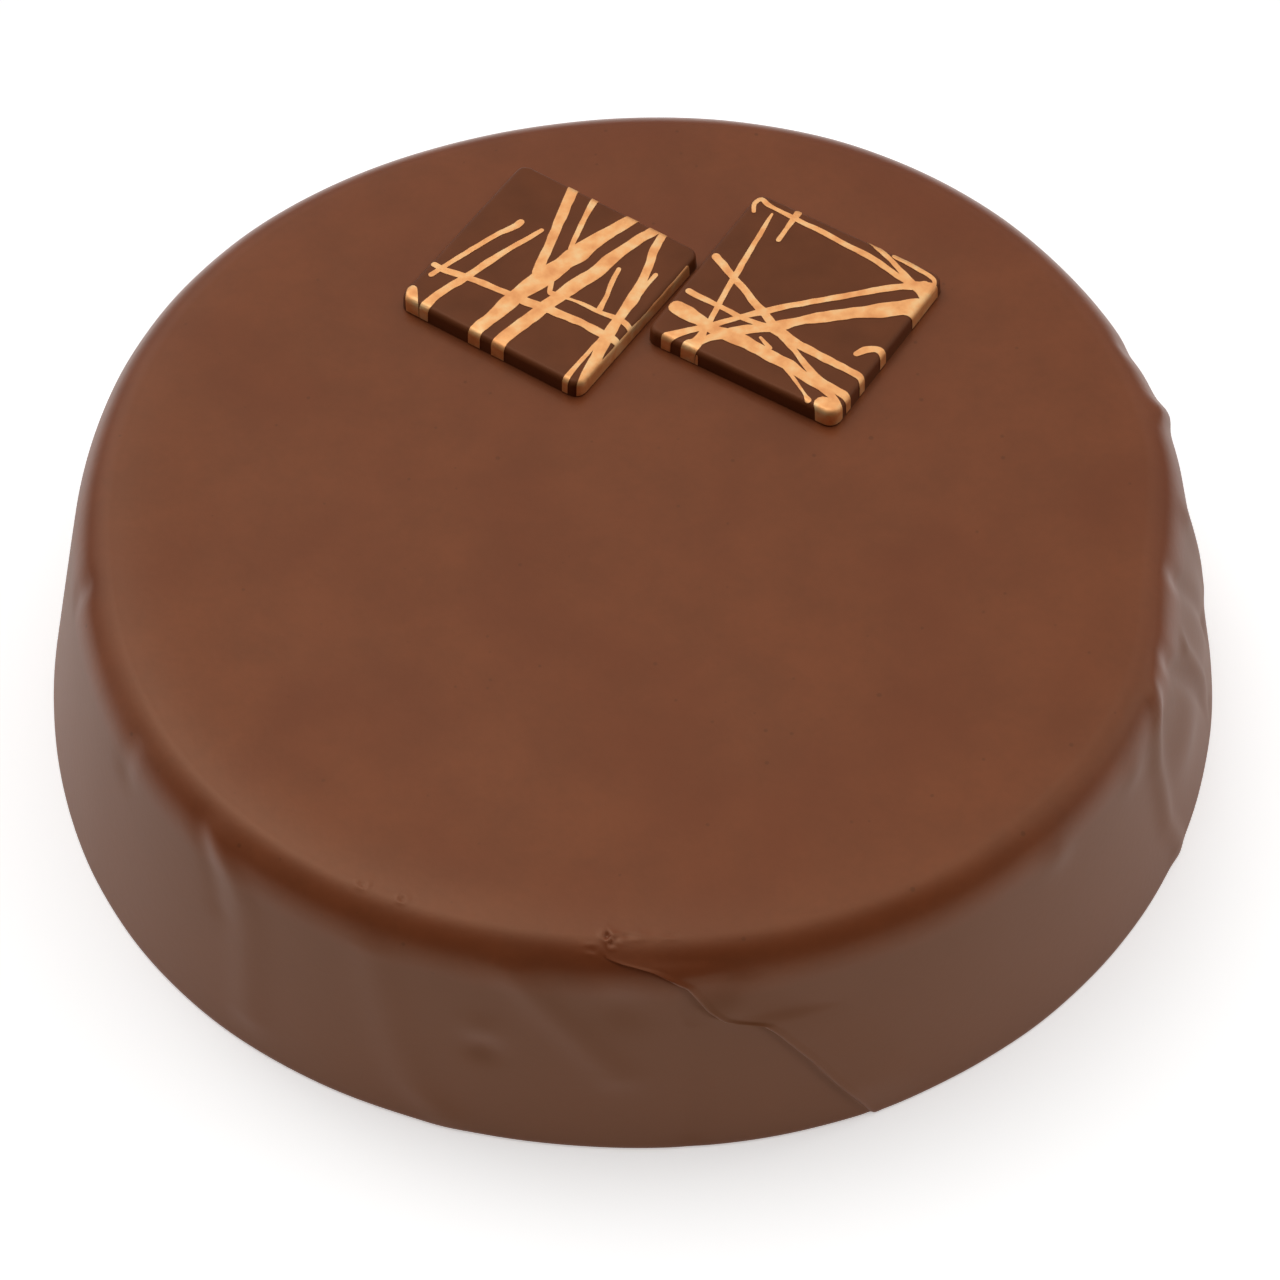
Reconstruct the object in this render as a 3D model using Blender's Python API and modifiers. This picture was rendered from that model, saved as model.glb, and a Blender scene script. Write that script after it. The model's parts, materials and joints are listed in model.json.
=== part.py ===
"""A round biscuit cake in a thin rolled chocolate coating, with two moulded chocolate squares on top.

Metres, +Z up. The cake stands on z = 0 with its middle over the origin. The overlap of the coating
faces the front (-Y) and the two squares lie towards the back. Azimuth is in degrees from +X,
turning towards +Y, so the front is at -90.
"""

import math

import bmesh
import bpy
from mathutils import Matrix, Vector

MM = 0.001

# The cake, in millimetres
FOOT_RADIUS = 90.0
HEIGHT = 42.0
WALL_SLOPE = 0.16  # how far the wall leans in, for each mm of height
SHOULDER_HEIGHT = 6.8  # the rounding between wall and top, measured down the wall
SHOULDER_REACH = 5.2  # and measured inwards along the top
SHOULDER_POWER = 2.2  # 2 is an ellipse, more is squarer
RIM_DROP = 0.5  # the top falls away before the shoulder, first gently and then faster
RIM_POWER = 4
RIM_START = 64.0
RIM_END = 78.2
TOP_SHIFT = (0.2, -2.5)  # the top sits a little forward of the foot
FOOT_ROUNDING = 0.5

# How finely the coating is turned
COLUMNS = 216
WALL_ROWS = 9
SHOULDER_ROWS = 8
RIM_ROWS = 3
WELD = 0.05  # points closer than this are one, where the turned form closes

# The uneven outline: waves round the cake, their size, and where one peaks
OUTLINE_WAVES = ((2, 0.38, 25), (3, 0.21, -54), (4, 0.62, -40), (5, 0.30, 0))

# The overlap: the edge of the right-hand sheet, from the foot up to the shoulder
SEAM_HEIGHTS = (0.0, 11.6, 21.2, 26.6, 29.4, 34.0, 38.1, 39.5)
SEAM_AZIMUTHS = (-66.8, -71.1, -74.8, -77.3, -81.5, -83.9, -86.7, -90.5)
SEAM_STEP = 0.8  # thickness of the sheet at its edge
SEAM_FADE = 14.0  # how far behind the edge the coating is level again
SEAM_DIES_OUT = (36.6, 40.6)  # the heights between which the step sinks into the shoulder
SEAM_PRESSED = (0.0, 9.0)  # the heights between which the edge is pressed thinner, down to the foot
SEAM_AT_FOOT = 0.3
SEAM_REACH = 42.0  # degrees each side over which the columns lean with the seam
SEAM_GAP = 0.5  # distance between the two columns that hold the step

# Soft folds and hollows that run down the wall: heights, azimuths, half width, rise
FOLDS = (
    ((39, 36, 31, 25, 8), (-135.6, -133.0, -130.8, -130.0, -128.8), 3.4, 0.4),
    ((39, 33, 27), (-138.0, -135.2, -133.8), 2.4, -0.25),
    ((34, 18, 8, 3), (-116.0, -113.4, -111.0, -108.0), 3.8, 0.35),
    ((37, 28, 17), (-101.9, -97.0, -91.5), 3.6, 0.4),
    ((36, 4), (-84.5, -84.5), 1.8, -0.25),
    ((38, 33), (-150.2, -150.2), 2.8, -0.35),
    ((40, 37), (-171, -171), 2.8, -0.4),
    ((38, 34, 27, 12, 3), (-23.0, -25.0, -26.0, -25.4, -23.5), 2.2, 0.7),
    ((36, 29, 17, 6), (-18.0, -15.4, -11.5, -8.0), 2.2, -0.7),
    ((30, 17, 6), (-12.5, -9.8, -8.2), 1.8, 0.6),
    ((36, 26, 14), (-7.0, -4.0, -1.0), 2.4, -0.7),
    ((34, 24, 10), (2.5, 4.0, 6.0), 2.8, 0.6),
    ((41, 34, 27), (14.5, 16.0, 18.0), 2.6, 0.9),
    ((39, 30, 12), (24.0, 24.0, 22.0), 3.0, -0.4),
)
FOLD_END = 3.0  # a fold dies out over about this height past its ends
# Single dents and bulges: height, azimuth, half width, rise
DENTS = (
    (19.8, -104.4, 2.6, -0.6),
    (23.8, -104.8, 3.0, 0.3),
    (32.0, -91.0, 4.0, -0.5),
    (35.0, -82.0, 2.2, -0.3),
    (34.0, -43.8, 3.0, 0.35),
    (33.0, -30.5, 3.0, 0.35),
    (20.0, -18.0, 7.0, 0.7),
)
RELIEF_TOP = 39.0  # above this the relief sinks into the flat top
# Where the coating hangs like a tent at the right: the shoulder is drawn in
TENT_AZIMUTH = -7.0
TENT_HALF_WIDTH = 12.0
TENT_PULL = 2.4
TENT_LOW = 16.0

# The moulded squares
SQUARE_SIDE = 33.2
SQUARE_THICKNESS = 2.5
SQUARE_CORNER = 1.8
SQUARE_CORNER_STEPS = 4
SQUARE_EDGE = 0.9
SQUARE_EDGE_STEPS = 3
SQUARE_DRAFT = 0.15  # how much wider the foot is than the face, on each side
SQUARE_CLEARANCE = 0.3  # between a square and the cake
SQUARES = {
    "plaque_left": ((-12.6, 41.6), -33.9),
    "plaque_right": ((25.0, 35.6), -31.8),
}

# The painted strokes: a thin coat, brushed into the mould and over the square's edges.
# Each stroke is a path of (along, across, width) on its own square.
STROKE_RISE = 0.22
STROKE_FOOT = 0.4  # the coat stops short of the square's foot
STROKE_END_SIDES = 3
STROKE_STAGGER = 0.01  # each prism sits this much higher than the last, so no two faces coincide
BEYOND = 18.5  # a stroke that runs over the edge ends out here
RIM = 16.9  # a stroke along here coats the side of the square
STROKES = {
    "plaque_left": (
        ((-7.3, BEYOND, 1.7), (-5.0, 10.3, 1.7), (-1.4, -2.0, 1.6)),
        ((-3.2, BEYOND, 1.2), (-1.9, 12.5, 0.9), (0.1, 5.2, 0.8)),
        ((4.9, BEYOND, 2.1), (3.2, 12.5, 2.2), (1.5, 6.4, 3.2), (0.0, -0.6, 3.3),
         (-1.5, -6.7, 2.7), (-2.2, -12.5, 2.3), (-2.4, -BEYOND, 2.0)),
        ((9.2, BEYOND, 1.9), (6.2, 7.5, 2.2), (4.8, 0.5, 2.5), (3.2, -6.7, 2.2),
         (1.9, -13.3, 2.2), (1.9, -BEYOND, 2.2)),
        ((9.5, BEYOND, 1.3), (11.9, 9.4, 1.4), (13.5, 2.8, 1.8), (14.4, -5.0, 1.9),
         (16.0, -12.2, 2.1), (16.8, -16.6, 1.9)),
        ((13.75, 8.5, 0.8), (13.9, 2.5, 0.8)),
        ((8.4, 6.4, 0.7), (10.5, -2.2, 0.9)),
        ((1.4, -0.8, 0.8), (2.8, -3.3, 0.9), (10.3, -2.5, 0.8), (15.2, -2.1, 1.1), (17.0, -2.7, 1.0)),
        ((-15.4, -8.6, 1.0), (-3.0, -7.2, 1.1), (3.3, -6.4, 1.4), (13.3, -5.8, 1.5), (BEYOND, -6.0, 1.2)),
        ((-9.6, 6.0, 1.1), (-12.2, -1.4, 0.9), (-14.9, -10.6, 0.9)),
        ((-5.95, 6.4, 0.7), (-8.9, -3.0, 1.2), (-11.4, -12.2, 1.3), (-11.8, -BEYOND, 1.6)),
        ((-15.6, -14.6, 1.6), (-13.4, -17.4, 1.7)),
        ((14.0, -4.0, 0.8), (14.1, -16.1, 0.9), (14.6, -BEYOND, 0.7)),
        ((RIM, 13.0, 0.9), (RIM, -16.0, 0.9)),
    ),
    "plaque_right": (
        ((-15.0, 12.4, 0.6), (-15.8, 14.2, 0.8), (-15.0, 15.1, 0.9), (-6.7, 14.4, 1.0),
         (5.5, 13.7, 1.1), (12.8, 12.4, 1.2), (17.0, 10.6, 1.2)),
        ((-9.05, 15.9, 1.1), (-8.75, 9.5, 0.8)),
        ((-12.35, 13.5, 0.5), (-10.9, 2.0, 0.9), (-9.1, -10.0, 0.9), (-8.6, -14.7, 1.6),
         (-9.3, -16.6, 2.6), (-9.7, -BEYOND, 1.5)),
        ((-15.1, 1.4, 1.3), (-3.0, -4.4, 1.4), (5.0, -8.6, 1.0), (11.2, -11.6, 1.3),
         (15.8, -12.2, 1.5), (17.3, -13.0, 1.0)),
        ((15.0, 13.3, 1.5), (11.0, 10.2, 1.3), (-3.0, -4.2, 1.2), (-13.0, -16.3, 1.6)),
        ((BEYOND, 9.0, 3.6), (14.4, 7.4, 3.2), (9.5, 3.3, 2.4), (4.4, -1.1, 2.0), (-2.0, -7.5, 1.8),
         (-6.1, -11.7, 1.9), (-8.6, -16.0, 1.4)),
        ((-15.0, -6.8, 1.1), (-3.0, -6.9, 1.0), (1.0, -6.7, 1.7), (15.6, -7.8, 1.3), (17.6, -9.4, 0.8)),
        ((-14.6, -10.5, 2.6), (-10.5, -10.9, 2.3), (-4.4, -11.1, 2.5), (5.5, -11.5, 2.1),
         (11.7, -12.6, 1.6), (17.4, -15.2, 0.9)),
        ((5.0, -12.1, 0.6), (10.5, -15.1, 0.6), (11.7, -15.8, 0.9)),
        ((3.0, 16.8, 0.5), (8.9, 14.6, 0.9), (13.5, 12.8, 1.0)),
        ((8.2, 16.0, 0.9), (14.7, 15.3, 0.8), (16.4, 13.6, 0.7)),
        ((13.4, 12.6, 1.4), (BEYOND, 12.6, 3.6)),
        ((13.3, -4.0, 1.0), (13.9, -2.8, 1.3), (15.2, -1.9, 1.3), (16.5, -1.9, 1.3), (17.4, -2.8, 1.0)),
        ((14.2, -15.6, 3.2), (15.8, -16.2, 3.4)),
    ),
}

# Colour, roughness and metallic share of each food
MATERIALS = {
    "milk_chocolate": ((0.205, 0.075, 0.036), 0.45, 0.0),
    "dark_chocolate": ((0.060, 0.022, 0.012), 0.35, 0.0),
    "copper_lustre": ((0.82, 0.38, 0.14), 0.35, 0.8),
}

SHARP_ANGLE = 35.0  # an edge that turns more than this stays crisp


def clear_scene():
    for obj in list(bpy.data.objects):
        bpy.data.objects.remove(obj, do_unlink=True)


def new_collection(name, hidden=False):
    collection = bpy.data.collections.new(name)
    collection.hide_render = hidden
    bpy.context.scene.collection.children.link(collection)
    return collection


def material(name):
    """The named food's Principled material, made on first use."""
    found = bpy.data.materials.get(name)
    if found:
        return found
    colour, roughness, metallic = MATERIALS[name]
    made = bpy.data.materials.new(name)
    made.use_nodes = True
    shader = made.node_tree.nodes["Principled BSDF"]
    shader.inputs["Base Color"].default_value = (*colour, 1.0)
    shader.inputs["Roughness"].default_value = roughness
    shader.inputs["Metallic"].default_value = metallic
    return made


def object_from(bm, name, collection, material_name):
    mesh = bpy.data.meshes.new(name)
    bm.to_mesh(mesh)
    bm.free()
    mesh.materials.append(material(material_name))
    obj = bpy.data.objects.new(name, mesh)
    collection.objects.link(obj)
    return obj


def apply_modifiers(obj):
    """Gives the object the mesh that its modifiers make, and drops them."""
    graph = bpy.context.evaluated_depsgraph_get()
    old = obj.data
    obj.data = bpy.data.meshes.new_from_object(obj.evaluated_get(graph))
    obj.modifiers.clear()
    bpy.data.meshes.remove(old)


def shade(obj):
    obj.data.shade_smooth()
    obj.data.set_sharp_from_angle(angle=math.radians(SHARP_ANGLE))


def remove(objects):
    for obj in list(objects):
        bpy.data.objects.remove(obj, do_unlink=True)


def as_cutter(obj):
    obj.hide_render = True
    obj.display_type = "WIRE"


# The coated cake


def cake_profile():
    """(radius, height) from the middle of the top, down the outer side, to the middle of the base."""
    rim_slope = RIM_POWER * RIM_DROP / (RIM_END - RIM_START)
    corner_height = HEIGHT - RIM_DROP - rim_slope * SHOULDER_REACH
    corner_radius = FOOT_RADIUS - WALL_SLOPE * corner_height
    shoulder_foot = corner_height - SHOULDER_HEIGHT
    rim_radius = corner_radius - SHOULDER_REACH
    points = [(0.0, HEIGHT)]
    for row in range(RIM_ROWS):
        radius = RIM_START + (rim_radius - RIM_START) * row / RIM_ROWS
        fall = (radius - RIM_START) / (RIM_END - RIM_START)
        points.append((radius, HEIGHT - RIM_DROP * fall ** RIM_POWER))
    for row in range(SHOULDER_ROWS, 0, -1):
        turn = math.radians(90 * row / SHOULDER_ROWS)
        inward = SHOULDER_REACH * (1 - max(math.cos(turn), 0) ** (2 / SHOULDER_POWER))
        down = SHOULDER_HEIGHT * (1 - math.sin(turn) ** (2 / SHOULDER_POWER))
        radius = corner_radius - inward + WALL_SLOPE * down
        points.append((radius, corner_height + rim_slope * inward - down))
    for row in range(WALL_ROWS, -1, -1):
        height = FOOT_ROUNDING + (shoulder_foot - FOOT_ROUNDING) * row / WALL_ROWS
        points.append((FOOT_RADIUS - WALL_SLOPE * height, height))
    points.append((FOOT_RADIUS - FOOT_ROUNDING, 0.0))
    points.append((0.0, 0.0))
    return points


def along(table_in, table_out, value):
    """Reads a broken line. The first list runs up or down, and past an end the end's value holds."""
    pairs = sorted(zip(table_in, table_out))
    if value <= pairs[0][0]:
        return pairs[0][1]
    for (low, at_low), (high, at_high) in zip(pairs, pairs[1:]):
        if value <= high:
            return at_low + (at_high - at_low) * (value - low) / (high - low)
    return pairs[-1][1]


def turn_between(azimuth, other):
    """Degrees from the other azimuth to this one, between -180 and 180."""
    return (azimuth - other + 180) % 360 - 180


def mm_between(azimuth, other):
    return math.radians(turn_between(azimuth, other)) * FOOT_RADIUS


def bell(distance, half_width):
    return math.exp(-((distance / half_width) ** 2))


def fade_in(value, start, end):
    """0 before start, 1 after end, and smooth between them."""
    share = min(max((value - start) / (end - start), 0.0), 1.0)
    return share * share * (3 - 2 * share)


def seam_middle():
    """The azimuth halfway between two columns from which the seam's columns are bent."""
    step = 360 / COLUMNS
    middle = sum(SEAM_AZIMUTHS) / len(SEAM_AZIMUTHS)
    return (math.floor(middle / step) + 0.5) * step


def bent_azimuth(azimuth, height):
    """Moves a column sideways, so that two of them follow the seam down the wall."""
    middle = seam_middle()
    away = turn_between(azimuth, middle)
    step = 360 / COLUMNS
    if abs(away) < step:
        away = math.copysign(math.degrees(SEAM_GAP / 2 / FOOT_RADIUS), away)
    lean = turn_between(along(SEAM_HEIGHTS, SEAM_AZIMUTHS, height), middle)
    weight = 1 - fade_in(abs(away), step, SEAM_REACH)
    return middle + away + lean * weight


def seam_rise(azimuth, height):
    """The right-hand sheet lies over the left-hand one, and its edge dies out at the shoulder."""
    behind = mm_between(azimuth, along(SEAM_HEIGHTS, SEAM_AZIMUTHS, height))
    if behind <= 0:
        return 0.0
    strength = 1 - fade_in(height, *SEAM_DIES_OUT)
    strength *= SEAM_AT_FOOT + (1 - SEAM_AT_FOOT) * fade_in(height, *SEAM_PRESSED)
    return SEAM_STEP * strength * (1 - fade_in(behind, 0, SEAM_FADE))


def folds_rise(azimuth, height):
    total = 0.0
    for heights, azimuths, half_width, rise in FOLDS:
        aside = mm_between(azimuth, along(heights, azimuths, height))
        past_end = max(height - max(heights), min(heights) - height, 0.0)
        total += rise * bell(aside, half_width) * bell(past_end, FOLD_END)
    for dent_height, dent_azimuth, half_width, rise in DENTS:
        away = math.hypot(mm_between(azimuth, dent_azimuth), height - dent_height)
        total += rise * bell(away, half_width)
    return total


def outline_rise(azimuth):
    return sum(
        size * math.cos(math.radians(waves * (azimuth - peak)))
        for waves, size, peak in OUTLINE_WAVES
    )


def tent_pull(azimuth, height):
    across = bell(turn_between(azimuth, TENT_AZIMUTH), TENT_HALF_WIDTH)
    return TENT_PULL * across * fade_in(height, TENT_LOW, HEIGHT)


def shaped_coating(point):
    """Where a point of the plain turned form lies on the real, uneven coating."""
    height = point.z / MM
    radius = math.hypot(point.x, point.y) / MM
    if radius < 1:
        return point.copy()
    azimuth = bent_azimuth(math.degrees(math.atan2(point.y, point.x)), height)
    on_wall = 1 - fade_in(height, RELIEF_TOP, HEIGHT - RIM_DROP)
    radius += outline_rise(azimuth) - tent_pull(azimuth, height)
    radius += on_wall * (seam_rise(azimuth, height) + folds_rise(azimuth, height))
    share = height / HEIGHT
    x = radius * math.cos(math.radians(azimuth)) + TOP_SHIFT[0] * share
    y = radius * math.sin(math.radians(azimuth)) + TOP_SHIFT[1] * share
    return Vector((x, y, height)) * MM


def coated_cake(collection):
    bm = bmesh.new()
    points = [bm.verts.new((radius * MM, 0, height * MM)) for radius, height in cake_profile()]
    for upper, lower in zip(points, points[1:]):
        bm.edges.new((upper, lower))
    cake = object_from(bm, "cake", collection, "milk_chocolate")
    turned = cake.modifiers.new("turned", "SCREW")
    turned.steps = COLUMNS
    turned.render_steps = COLUMNS
    turned.use_merge_vertices = True
    turned.merge_threshold = WELD * MM
    apply_modifiers(cake)
    for vertex in cake.data.vertices:
        vertex.co = shaped_coating(vertex.co)
    shade(cake)
    return cake


# The moulded squares and their painted strokes


def bevel(bm, edges, width, steps):
    bmesh.ops.bevel(
        bm, geom=edges, offset=width * MM, segments=steps, profile=0.5, affect="EDGES",
        offset_type="OFFSET", material=-1,
    )


def moulded_square(name, collection, swell, material_name):
    """A square block with round corners and a rounded face. `swell` grows its face and sides."""
    bm = bmesh.new()
    low = STROKE_FOOT if swell else 0.0
    top = SQUARE_THICKNESS + swell
    side = SQUARE_SIDE + 2 * swell
    middle = (top + low) / 2 * MM
    size = Matrix.Diagonal((side * MM, side * MM, (top - low) * MM, 1))
    bmesh.ops.create_cube(bm, size=1.0, matrix=Matrix.Translation((0, 0, middle)) @ size)
    upright = [
        edge for edge in bm.edges
        if (edge.verts[0].co.z - middle) * (edge.verts[1].co.z - middle) < 0
    ]
    bevel(bm, upright, SQUARE_CORNER + swell, SQUARE_CORNER_STEPS)
    around_the_face = [edge for edge in bm.edges if min(vert.co.z for vert in edge.verts) > middle]
    bevel(bm, around_the_face, SQUARE_EDGE + swell, SQUARE_EDGE_STEPS)
    for vert in bm.verts:
        share = 1 - vert.co.z / MM / top
        widen = 1 + 2 * SQUARE_DRAFT * share / side
        vert.co.x *= widen
        vert.co.y *= widen
    return object_from(bm, name, collection, material_name)


def round_end(start, end):
    """The points of a half circle from start to end, turning clockwise, without those two."""
    middle = (start + end) / 2
    points = []
    for side in range(1, STROKE_END_SIDES):
        spoke = start - middle
        spoke.rotate(Matrix.Rotation(-math.pi * side / STROKE_END_SIDES, 2))
        points.append(middle + spoke)
    return points


def stroke_outline(path):
    """The closed outline of a stroke with round ends, as points in millimetres."""
    left, right = [], []
    for index, (x, y, width) in enumerate(path):
        before = path[max(index - 1, 0)]
        after = path[min(index + 1, len(path) - 1)]
        ahead = Vector((after[0] - before[0], after[1] - before[1])).normalized()
        aside = Vector((-ahead.y, ahead.x)) * width / 2
        left.append(Vector((x, y)) + aside)
        right.append(Vector((x, y)) - aside)
    far_end = round_end(left[-1], right[-1])
    near_end = round_end(right[0], left[0])
    return [*left, *far_end, *reversed(right), *near_end]


def stroke_prism(path, number, collection):
    """The stroke as an upright prism, to be cut to the swollen square."""
    bm = bmesh.new()
    step = STROKE_STAGGER * number
    low = (STROKE_FOOT + STROKE_STAGGER + step) * MM
    high = (SQUARE_THICKNESS + 2 * STROKE_RISE + step) * MM
    outline = [bm.verts.new((point.x * MM, point.y * MM, low)) for point in stroke_outline(path)]
    base = bm.faces.new(outline)
    grown = bmesh.ops.extrude_face_region(bm, geom=[base], use_keep_orig=True)
    lifted = [item for item in grown["geom"] if isinstance(item, bmesh.types.BMVert)]
    bmesh.ops.translate(bm, verts=lifted, vec=(0, 0, high - low))
    bmesh.ops.recalc_face_normals(bm, faces=bm.faces)
    return object_from(bm, f"stroke_{number}", collection, "copper_lustre")


def combine(obj, operation, other):
    """Joins or cuts an object with another object, or with every object of a collection."""
    step = obj.modifiers.new(operation.lower(), "BOOLEAN")
    step.operation = operation
    step.solver = "EXACT"
    step.material_mode = "TRANSFER"
    if isinstance(other, bpy.types.Collection):
        step.operand_type = "COLLECTION"
        step.collection = other
    else:
        step.object = other
    apply_modifiers(obj)


def painted_square(name, collection):
    (x, y), turn = SQUARES[name]
    square = moulded_square(name, collection, 0.0, "dark_chocolate")
    cutters = new_collection(f"{name}_cutters", hidden=True)
    others = new_collection(f"{name}_strokes", hidden=True)
    swollen = moulded_square(f"{name}_swollen", cutters, STROKE_RISE, "copper_lustre")
    first, *rest = STROKES[name]
    coat = stroke_prism(first, 0, cutters)
    for number, path in enumerate(rest, start=1):
        as_cutter(stroke_prism(path, number, others))
    for cutter in (swollen, coat):
        as_cutter(cutter)
    combine(coat, "UNION", others)
    combine(coat, "INTERSECT", swollen)
    combine(square, "UNION", coat)
    remove([*cutters.objects, *others.objects])
    for helper in (cutters, others):
        bpy.data.collections.remove(helper)
    square.location = (x * MM, y * MM, (HEIGHT + SQUARE_CLEARANCE) * MM)
    square.rotation_euler.z = math.radians(turn)
    shade(square)
    return square


clear_scene()
biscuit_cake = new_collection("biscuit_cake")
coated_cake(biscuit_cake)
for square_name in SQUARES:
    painted_square(square_name, biscuit_cake)
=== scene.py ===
"""A round biscuit cake in a thin rolled chocolate coating, with two moulded chocolate squares on top.

Sizes are in millimetres and degrees unless a line says otherwise. The cake stands on z = 0 with its
middle over the origin, its overlap faces the front (-Y), and azimuth runs from +X towards +Y.
"""

import functools
import json
import math

import bmesh
import bpy
from mathutils import Matrix, Vector, noise

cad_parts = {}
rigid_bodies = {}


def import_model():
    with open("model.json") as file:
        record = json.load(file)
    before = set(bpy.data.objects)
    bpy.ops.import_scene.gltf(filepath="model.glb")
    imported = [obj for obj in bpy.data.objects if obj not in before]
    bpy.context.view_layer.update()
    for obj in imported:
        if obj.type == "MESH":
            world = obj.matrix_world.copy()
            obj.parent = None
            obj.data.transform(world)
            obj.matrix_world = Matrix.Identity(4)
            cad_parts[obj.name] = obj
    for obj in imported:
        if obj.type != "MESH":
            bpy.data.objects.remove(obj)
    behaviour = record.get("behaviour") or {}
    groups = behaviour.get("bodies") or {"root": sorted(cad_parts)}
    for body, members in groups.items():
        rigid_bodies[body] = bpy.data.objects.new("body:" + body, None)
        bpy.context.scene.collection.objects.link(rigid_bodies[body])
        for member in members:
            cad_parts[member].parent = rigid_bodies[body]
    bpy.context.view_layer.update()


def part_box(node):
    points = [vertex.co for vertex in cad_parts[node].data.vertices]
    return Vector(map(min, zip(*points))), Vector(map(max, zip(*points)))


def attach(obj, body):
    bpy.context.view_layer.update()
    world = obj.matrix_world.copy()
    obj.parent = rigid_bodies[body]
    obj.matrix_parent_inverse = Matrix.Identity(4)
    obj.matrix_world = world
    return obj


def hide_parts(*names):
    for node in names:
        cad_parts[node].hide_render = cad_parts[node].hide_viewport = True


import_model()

# ---------------------------------------------------------------------------------------------
# The coated cake. Pressed biscuit and chocolate, set in a ring and wrapped in one thin sheet of
# rolled milk chocolate paste. The sheet's end laps over its beginning at the front, and smoothing
# it by hand left soft folds, dents, burst bubbles and a waxy sheen.
# ---------------------------------------------------------------------------------------------

MM = 0.001
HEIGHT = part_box("cake")[1].z / MM
FOOT_RADIUS = 90.0
WALL_SLOPE = 0.16  # how far the wall leans in, for each mm of height
SHOULDER_HEIGHT = 6.8  # the rounding between wall and top, measured down the wall
SHOULDER_REACH = 5.2  # and measured inwards along the top
SHOULDER_POWER = 2.2  # 2 is an ellipse, more is squarer
RIM_DROP = 0.5  # the top falls away before the shoulder, first gently and then faster
RIM_POWER = 4
RIM_START = 64.0
RIM_END = 78.2
TOP_SHIFT = (0.2, -2.5)  # the top sits a little forward of the foot
FOOT_ROUNDING = 0.5

COLUMNS = 720  # how finely the surface is cut, round the cake and then down its profile
TOP_ROWS = 44
TOP_CROWDING = 1.5  # above 1, the rows of the top stand closer together towards the rim
SHOULDER_ROWS = 32
WALL_ROWS = 56
MERGE_DISTANCE = 0.002

OUTLINE_FULL = 0.9  # the outline's waves are full from this share of the foot's radius outwards
# The outline isn't quite round: waves in one turn, size, azimuth of a crest
OUTLINE_WAVES = ((2, 0.38, 25), (3, 0.21, -54), (4, 0.62, -40), (5, 0.30, 0))

# The edge of the overlap, from the foot up to the rim
SEAM_HEIGHTS = (
    0.0, 6.8, 11.6, 16.7, 21.2, 24.7, 27.0, 28.1, 29.2, 31.7, 34.0, 36.3, 38.1, 39.1,
    39.5, 39.9,
)
SEAM_AZIMUTHS = (
    -66.8, -69.3, -71.1, -72.9, -74.8, -76.3, -77.6, -79.6, -81.4, -83.0, -83.9, -84.9, -86.7, -88.4,
    -90.5, -92.8,
)
SEAM_STEP = 0.8  # thickness of the sheet at its edge
SEAM_FADE = 14.0  # how far behind the edge the coating is level again
SEAM_DIES_OUT = (38.0, 41.2)  # between these heights
SEAM_PRESSED = (0.0, 9.0)  # between these heights, downwards, the edge is pressed thinner
SEAM_AT_FOOT = 0.3  # to this share of its step
SEAM_ROUNDING = 0.3  # the corners of its path are eased over this height
SEAM_REACH = 42.0  # degrees each side over which the columns lean with the seam
SEAM_CROWDING = 0.86  # the columns stand this much closer at the seam,
SEAM_CROWD_WIDTH = 4.0  # over this many degrees each side
SEAM_EDGE = 0.22  # half the width of the rounded edge
# The pressed edge swells to a lip, and the sheet beside it is pinched to a groove. Each has its
# size, its place behind the edge and its half width.
SEAM_LIP = 0.3
LIP_BEHIND = 0.6
LIP_HALF_WIDTH = 0.55
SEAM_GROOVE = 0.22
GROOVE_BEHIND = -0.5
GROOVE_HALF_WIDTH = 0.6

# Soft folds and hollows that run down the wall: heights, azimuths, half width, rise
FOLDS = (
    ((39, 36, 31, 25, 8), (-135.6, -133.0, -130.8, -130.0, -128.8), 3.4, 0.4),
    ((39, 33, 27), (-138.0, -135.2, -133.8), 2.4, -0.25),
    ((34, 18, 8, 3), (-116.0, -113.4, -111.0, -108.0), 3.8, 0.35),
    ((37, 28, 17), (-101.9, -97.0, -91.5), 3.6, 0.4),
    ((36, 4), (-84.5, -84.5), 1.8, -0.25),
    ((38, 33), (-150.2, -150.2), 2.8, -0.35),
    ((40, 37), (-171, -171), 2.8, -0.4),
    ((38, 34, 27, 12, 3), (-23.0, -25.0, -26.0, -25.4, -23.5), 2.2, 0.7),
    ((36, 29, 17, 6), (-18.0, -15.4, -11.5, -8.0), 2.2, -0.7),
    ((30, 17, 6), (-12.5, -9.8, -8.2), 1.8, 0.6),
    ((36, 26, 14), (-7.0, -4.0, -1.0), 2.4, -0.7),
    ((34, 24, 10), (2.5, 4.0, 6.0), 2.8, 0.6),
    ((41, 34, 27), (14.5, 16.0, 18.0), 2.6, 0.9),
    ((39, 30, 12), (24.0, 24.0, 22.0), 3.0, -0.4),
)
FOLD_END = 3.0  # a fold dies out over this height past its ends
FOLD_ROUNDING = 1.5  # the corners of its path are eased over this height
BELL_REACH = 3  # at this many half widths a fold or dent has died out
# Single dents and bulges: height, azimuth, half width, rise
DENTS = (
    (19.8, -104.4, 2.6, -0.6),
    (23.8, -104.8, 3.0, 0.3),
    (32.0, -91.0, 4.0, -0.5),
    (35.5, -82.0, 3.0, -0.5),
    (31.0, -80.6, 3.0, 0.25),
    (34.0, -43.8, 3.0, 0.35),
    (33.0, -30.5, 3.0, 0.35),
    (20.0, -18.0, 7.0, 0.7),
)
RELIEF_TOP = 39.0  # from here up to the rim the wall's relief fades out
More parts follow.
